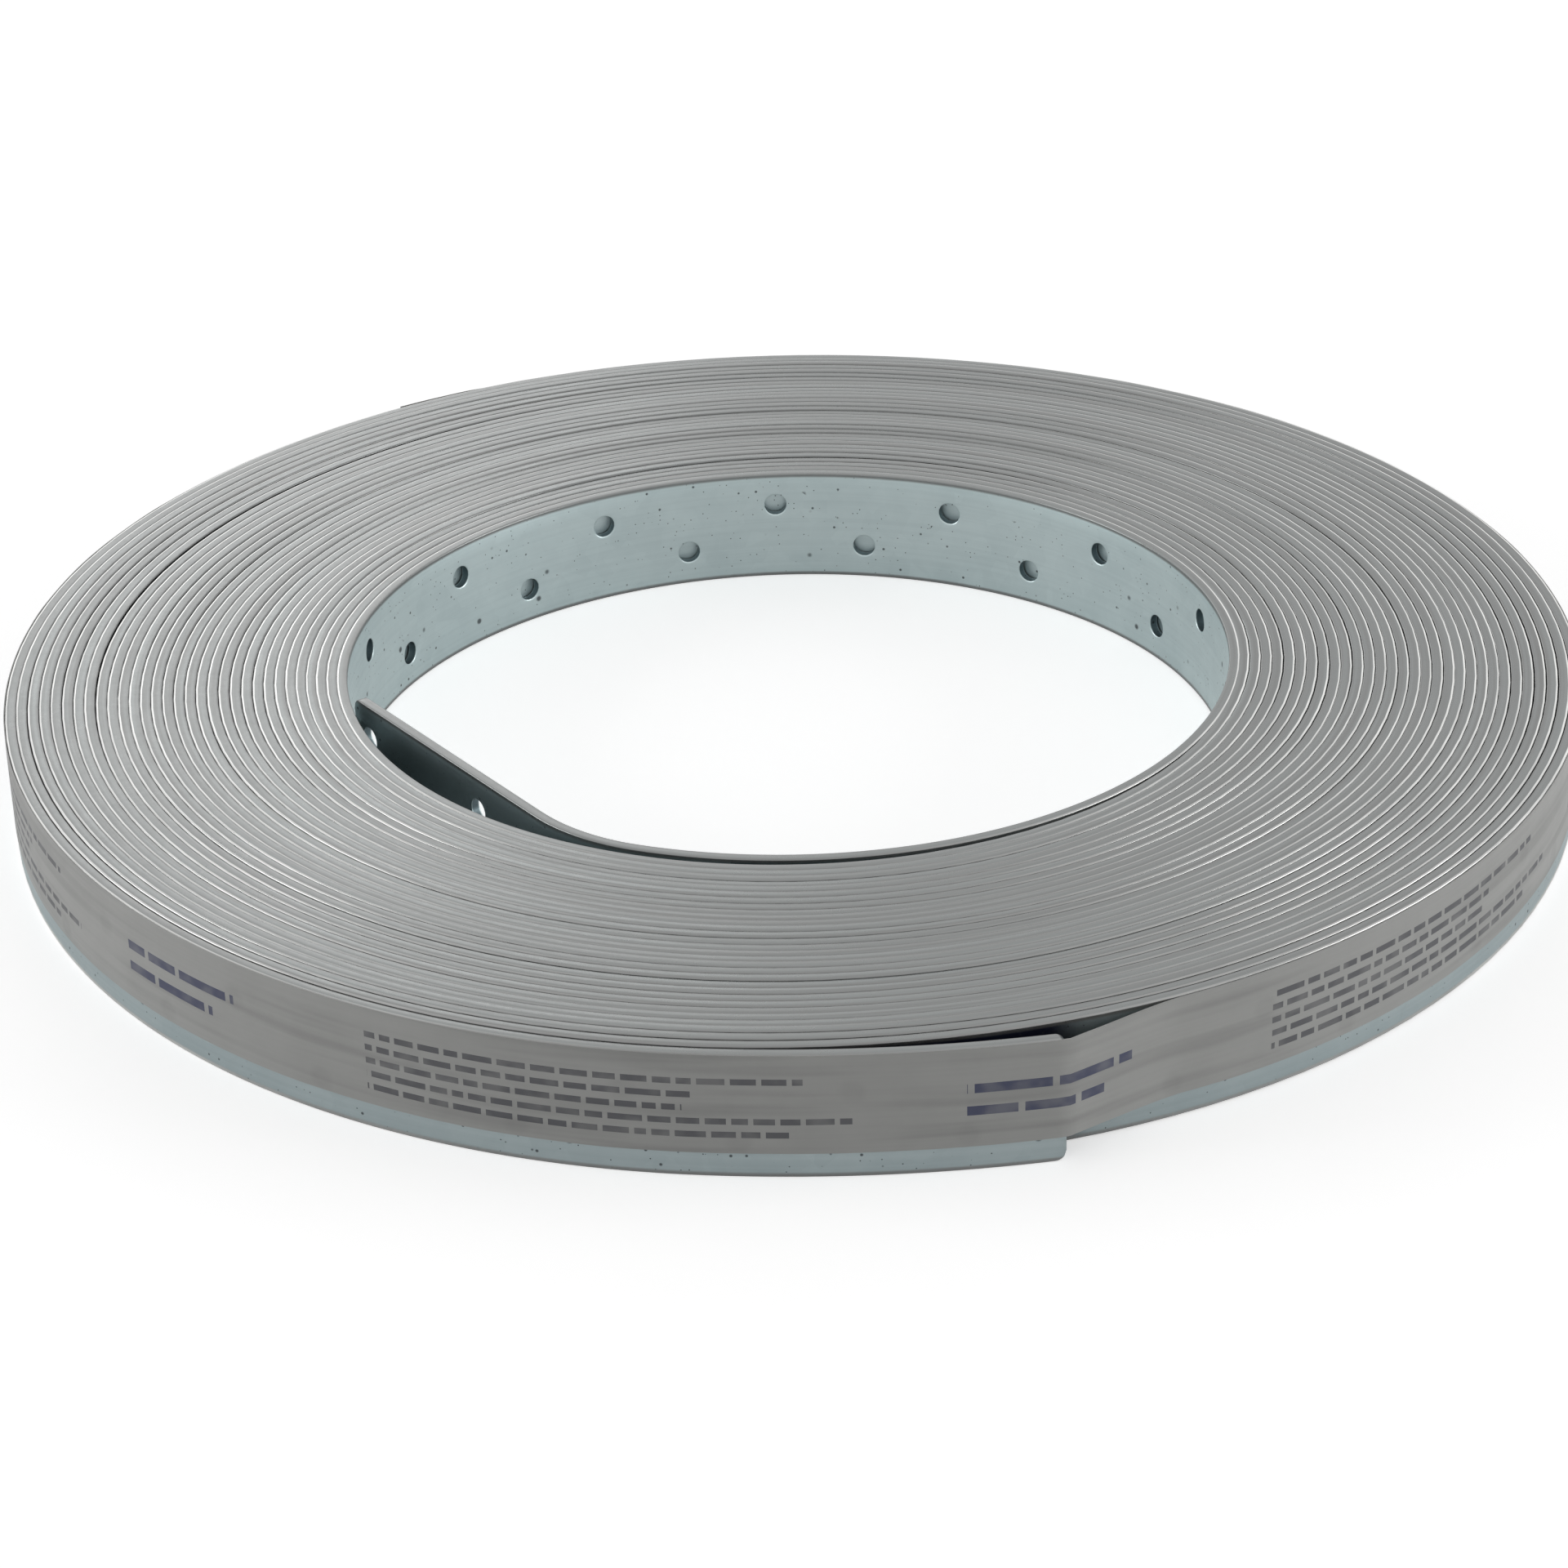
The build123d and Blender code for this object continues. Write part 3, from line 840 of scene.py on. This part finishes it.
def studio_world():
    """Soft light from all round, and plain white where the camera or a sheen looks past the floor."""
    world = bpy.data.worlds.new("studio")
    world.use_nodes = True
    world.node_tree.nodes.clear()
    net = Net(world.node_tree)
    light = net.node("ShaderNodeBackground", {"Color": (1, 1, 1, 1), "Strength": 0.45})
    seen = net.node("ShaderNodeBackground", {"Color": (1, 1, 1, 1), "Strength": 1.0})
    path = net.node("ShaderNodeLightPath")
    looking = net.math("MAXIMUM", path.outputs["Is Camera Ray"], path.outputs["Is Glossy Ray"])
    looking = net.math("MAXIMUM", looking, path.outputs["Is Transmission Ray"])
    both = net.node("ShaderNodeMixShader", {0: looking, 1: light.outputs[0], 2: seen.outputs[0]})
    net.node("ShaderNodeOutputWorld", {"Surface": both.outputs[0]})
    return world


def soft_box(name, place, side, power):
    """A square area lamp that faces the origin."""
    lamp = bpy.data.lights.new(name, "AREA")
    lamp.shape = "SQUARE"
    lamp.size = side
    lamp.energy = power
    box = bpy.data.objects.new(name, lamp)
    box.location = place
    box.rotation_euler = (-Vector(place)).to_track_quat("-Z", "Y").to_euler()
    bpy.context.scene.collection.objects.link(box)


class COIL_OT_strap(bpy.types.Operator):
    """Wind the perforated strap"""

    bl_idname = "coil.strap"
    bl_label = "Wind strap"

    def execute(self, context):
        sizes = context.scene.coil_strap
        line = winding_line()
        values = line_values(sizes)
        start_turn = tail_tip_turn(sizes)
        burr_reach = row_heights(sizes)[0] - sizes.hole_radius * SQUARE_SHARE
        values.update({
            "Start Turn": start_turn, "Width": sizes.width, "Edge Round": sizes.edge_round,
            "Edge Burr": sizes.edge_burr, "Burr Reach": burr_reach,
            "Corner Radius": sizes.corner_radius, "End Margin": sizes.hole_margin,
            "Cell Length": sizes.hole_step * 2, "Column Length": COLUMN_LENGTH,
            "Inner Cells": INNER_CELLS, "Outer Cells": OUTER_CELLS,
            "Line Points": int((values["End Turn"] - start_turn) / LINE_STEP),
            "Finish": zinc_finish(context.scene.coil_finish, sizes)})
        make_piece("strap_winding", perforated_cell(sizes), wound_strap(line), values,
                   "strap")
        return {"FINISHED"}


class COIL_OT_label(bpy.types.Operator):
    """Wrap the label tape"""

    bl_idname = "coil.label"
    bl_label = "Wrap label tape"

    def execute(self, context):
        sizes = context.scene.coil_strap
        label = context.scene.coil_label
        line = bpy.data.node_groups["winding_line"]
        values = line_values(sizes)
        reference_radius = sizes.bore_radius + sizes.turn_pitch * (sizes.full_turns + 1)
        values.update({
            "Width": label.width, "Bottom": label.bottom, "Film": label.thickness,
            "Clearance": label.clearance, "Overlap": label.overlap,
            "Seam Turn": label.seam_angle - sizes.merge_angle, "Reference Radius": reference_radius,
            "Columns": LABEL_COLUMNS, "Rows": LABEL_ROWS,
            "Finish": film_finish(context.scene.coil_finish, sizes, label)})
        empty = bpy.data.meshes.new("label_base")
        make_piece("label_film_tape", empty, wrapped_label(line), values, "label_tape")
        return {"FINISHED"}


class COIL_OT_stage(bpy.types.Operator):
    """Set the floor, the lights and the camera"""

    bl_idname = "coil.stage"
    bl_label = "Set stage"

    def execute(self, context):
        scene = context.scene
        stage = scene.coil_stage
        mesh = bpy.data.meshes.new("studio_floor")
        signs = ((-1, -1), (1, -1), (1, 1), (-1, 1))
        corners = [(FLOOR_REACH * x, FLOOR_REACH * y, 0) for x, y in signs]
        mesh.from_pydata(corners, [], [(0, 1, 2, 3)])
        mesh.materials.append(floor_finish(scene.coil_finish))
        floor = bpy.data.objects.new("studio_floor", mesh)
        scene.collection.objects.link(floor)
        scene.world = studio_world()
        for name, place, side, power in SOFT_BOXES:
            soft_box(name, place, side, power)

        camera = bpy.data.cameras.new("camera")
        camera.sensor_fit = "HORIZONTAL"
        camera.sensor_width = 36.0
        camera.lens = stage.focal_share * camera.sensor_width
        camera.clip_start = 0.01
        camera.clip_end = 20.0
        eye = bpy.data.objects.new("camera", camera)
        forward = Vector((0, cos(stage.camera_pitch), -sin(stage.camera_pitch)))
        right = Vector((1, 0, 0))
        up = right.cross(forward)
        turn_cos, turn_sin = cos(stage.camera_roll), sin(stage.camera_roll)
        across = right * turn_cos + up * turn_sin
        upright = up * turn_cos - right * turn_sin
        axes = Matrix((across, upright, -forward)).transposed().to_4x4()
        eye.matrix_world = Matrix.Translation(stage.camera_place) @ axes
        scene.collection.objects.link(eye)
        scene.camera = eye
        scene.view_settings.view_transform = "Standard"
        return {"FINISHED"}


class VIEW3D_PT_coil(bpy.types.Panel):
    """Sizes, colours and steps of the coil"""

    bl_idname = "VIEW3D_PT_coil"
    bl_label = "Strap coil"
    bl_space_type = "VIEW_3D"
    bl_region_type = "UI"
    bl_category = "Strap coil"

    def draw(self, context):
        for operator in OPERATORS:
            self.layout.operator(operator.bl_idname)
        for name in SETTINGS:
            group = getattr(context.scene, name)
            box = self.layout.box()
            for field in group.bl_rna.properties:
                if field.identifier not in ("name", "rna_type"):
                    box.prop(group, field.identifier)


SETTINGS = {"coil_strap": StrapSizes, "coil_label": LabelSizes, "coil_finish": FinishColours,
            "coil_stage": StageSettings}
OPERATORS = (COIL_OT_strap, COIL_OT_label, COIL_OT_stage)


def register():
    for group in SETTINGS.values():
        bpy.utils.register_class(group)
    for name, group in SETTINGS.items():
        setattr(bpy.types.Scene, name, PointerProperty(type=group))
    for operator in OPERATORS:
        bpy.utils.register_class(operator)
    bpy.utils.register_class(VIEW3D_PT_coil)


def unregister():
    bpy.utils.unregister_class(VIEW3D_PT_coil)
    for operator in reversed(OPERATORS):
        bpy.utils.unregister_class(operator)
    for name in SETTINGS:
        delattr(bpy.types.Scene, name)
    for group in reversed(list(SETTINGS.values())):
        bpy.utils.unregister_class(group)


def main():
    register()
    bpy.ops.coil.strap()
    bpy.ops.coil.label()
    bpy.ops.coil.stage()


if __name__ == "__main__":
    main()
